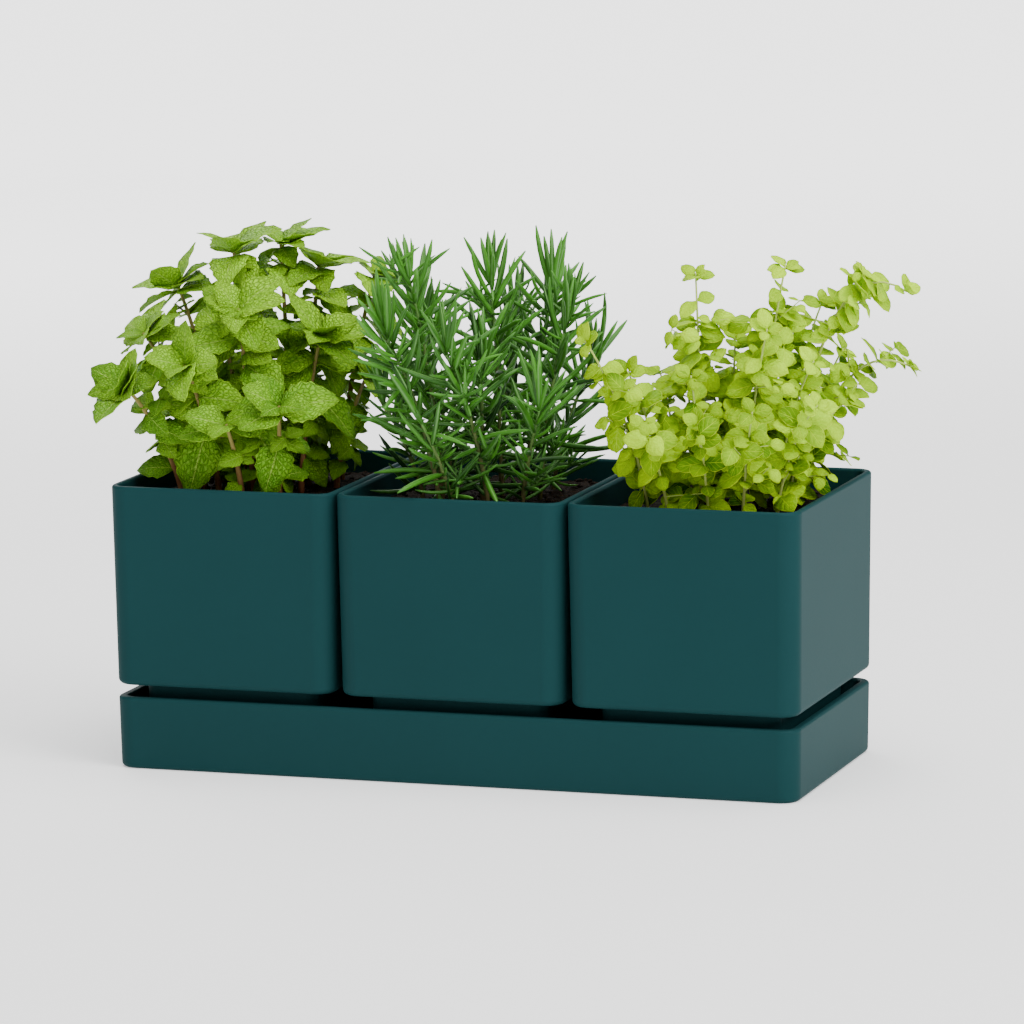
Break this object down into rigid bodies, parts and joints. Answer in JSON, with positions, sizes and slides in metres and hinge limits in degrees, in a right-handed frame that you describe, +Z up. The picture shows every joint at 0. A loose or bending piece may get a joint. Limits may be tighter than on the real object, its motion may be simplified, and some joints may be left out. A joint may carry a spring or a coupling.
{
  "type": "indoor herb planter",
  "caption": "Indoor herb planter: a long drip tray holding square pots on recessed feet, planted with mint, rosemary and oregano.",
  "frame": {"origin": "centre of the tray's flat underside, on the surface that the planter stands on", "axes": "+Z up, +X along the tray to the oregano pot, -Y to the front"},
  "size_m": [0.4152, 0.1647, 0.2715],
  "materials": {
    "planter_plastic": "matt deep teal moulded plastic, faintly satin on its rounded edges",
    "potting_soil": "dark fibrous peat-free potting compost, loose and crumbly, damp",
    "mint_growth": "fresh mint: veined toothed mid-green leaves on reddish square stems",
    "rosemary_growth": "rosemary: dark green needle leaves with a paler groove, pale green stems",
    "oregano_growth": "oregano: small bright yellow-green oval leaves on thin pale stems"
  },
  "bodies": {
    "tray": {"tray": "planter_plastic"},
    "pot_left": {"pot_left": "planter_plastic", "soil_left": "potting_soil", "mint_sprig_1": "mint_growth", "mint_sprig_2": "mint_growth", "mint_sprig_3": "mint_growth", "mint_sprig_4": "mint_growth", "mint_sprig_5": "mint_growth", "mint_sprig_6": "mint_growth", "mint_sprig_7": "mint_growth", "mint_sprig_8": "mint_growth", "mint_sprig_9": "mint_growth", "mint_sprig_10": "mint_growth", "mint_sprig_11": "mint_growth", "mint_sprig_12": "mint_growth", "mint_sprig_13": "mint_growth", "mint_sprig_14": "mint_growth", "mint_sprig_15": "mint_growth"},
    "pot_middle": {"pot_middle": "planter_plastic", "soil_middle": "potting_soil", "rosemary_sprig_1": "rosemary_growth", "rosemary_sprig_2": "rosemary_growth", "rosemary_sprig_3": "rosemary_growth", "rosemary_sprig_4": "rosemary_growth", "rosemary_sprig_5": "rosemary_growth", "rosemary_sprig_6": "rosemary_growth", "rosemary_sprig_7": "rosemary_growth", "rosemary_sprig_8": "rosemary_growth", "rosemary_sprig_9": "rosemary_growth", "rosemary_sprig_10": "rosemary_growth", "rosemary_sprig_11": "rosemary_growth", "rosemary_sprig_12": "rosemary_growth", "rosemary_sprig_13": "rosemary_growth"},
    "pot_right": {"pot_right": "planter_plastic", "soil_right": "potting_soil", "oregano_sprig_1": "oregano_growth", "oregano_sprig_2": "oregano_growth", "oregano_sprig_3": "oregano_growth", "oregano_sprig_4": "oregano_growth", "oregano_sprig_5": "oregano_growth", "oregano_sprig_6": "oregano_growth", "oregano_sprig_7": "oregano_growth", "oregano_sprig_8": "oregano_growth", "oregano_sprig_9": "oregano_growth", "oregano_sprig_10": "oregano_growth", "oregano_sprig_11": "oregano_growth", "oregano_sprig_12": "oregano_growth", "oregano_sprig_13": "oregano_growth", "oregano_sprig_14": "oregano_growth", "oregano_sprig_15": "oregano_growth", "oregano_sprig_16": "oregano_growth", "oregano_sprig_17": "oregano_growth", "oregano_sprig_18": "oregano_growth", "oregano_sprig_19": "oregano_growth", "oregano_sprig_20": "oregano_growth", "oregano_sprig_21": "oregano_growth"}
  },
  "joints": [
    {"name": "pot_left_lift", "type": "slide", "parent": "tray", "child": "pot_left", "axis": [0, 0, 1], "range_m": [0, 0.3]},
    {"name": "pot_middle_lift", "type": "slide", "parent": "tray", "child": "pot_middle", "axis": [0, 0, 1], "range_m": [0, 0.3]},
    {"name": "pot_right_lift", "type": "slide", "parent": "tray", "child": "pot_right", "axis": [0, 0, 1], "range_m": [0, 0.3]}
  ]
}
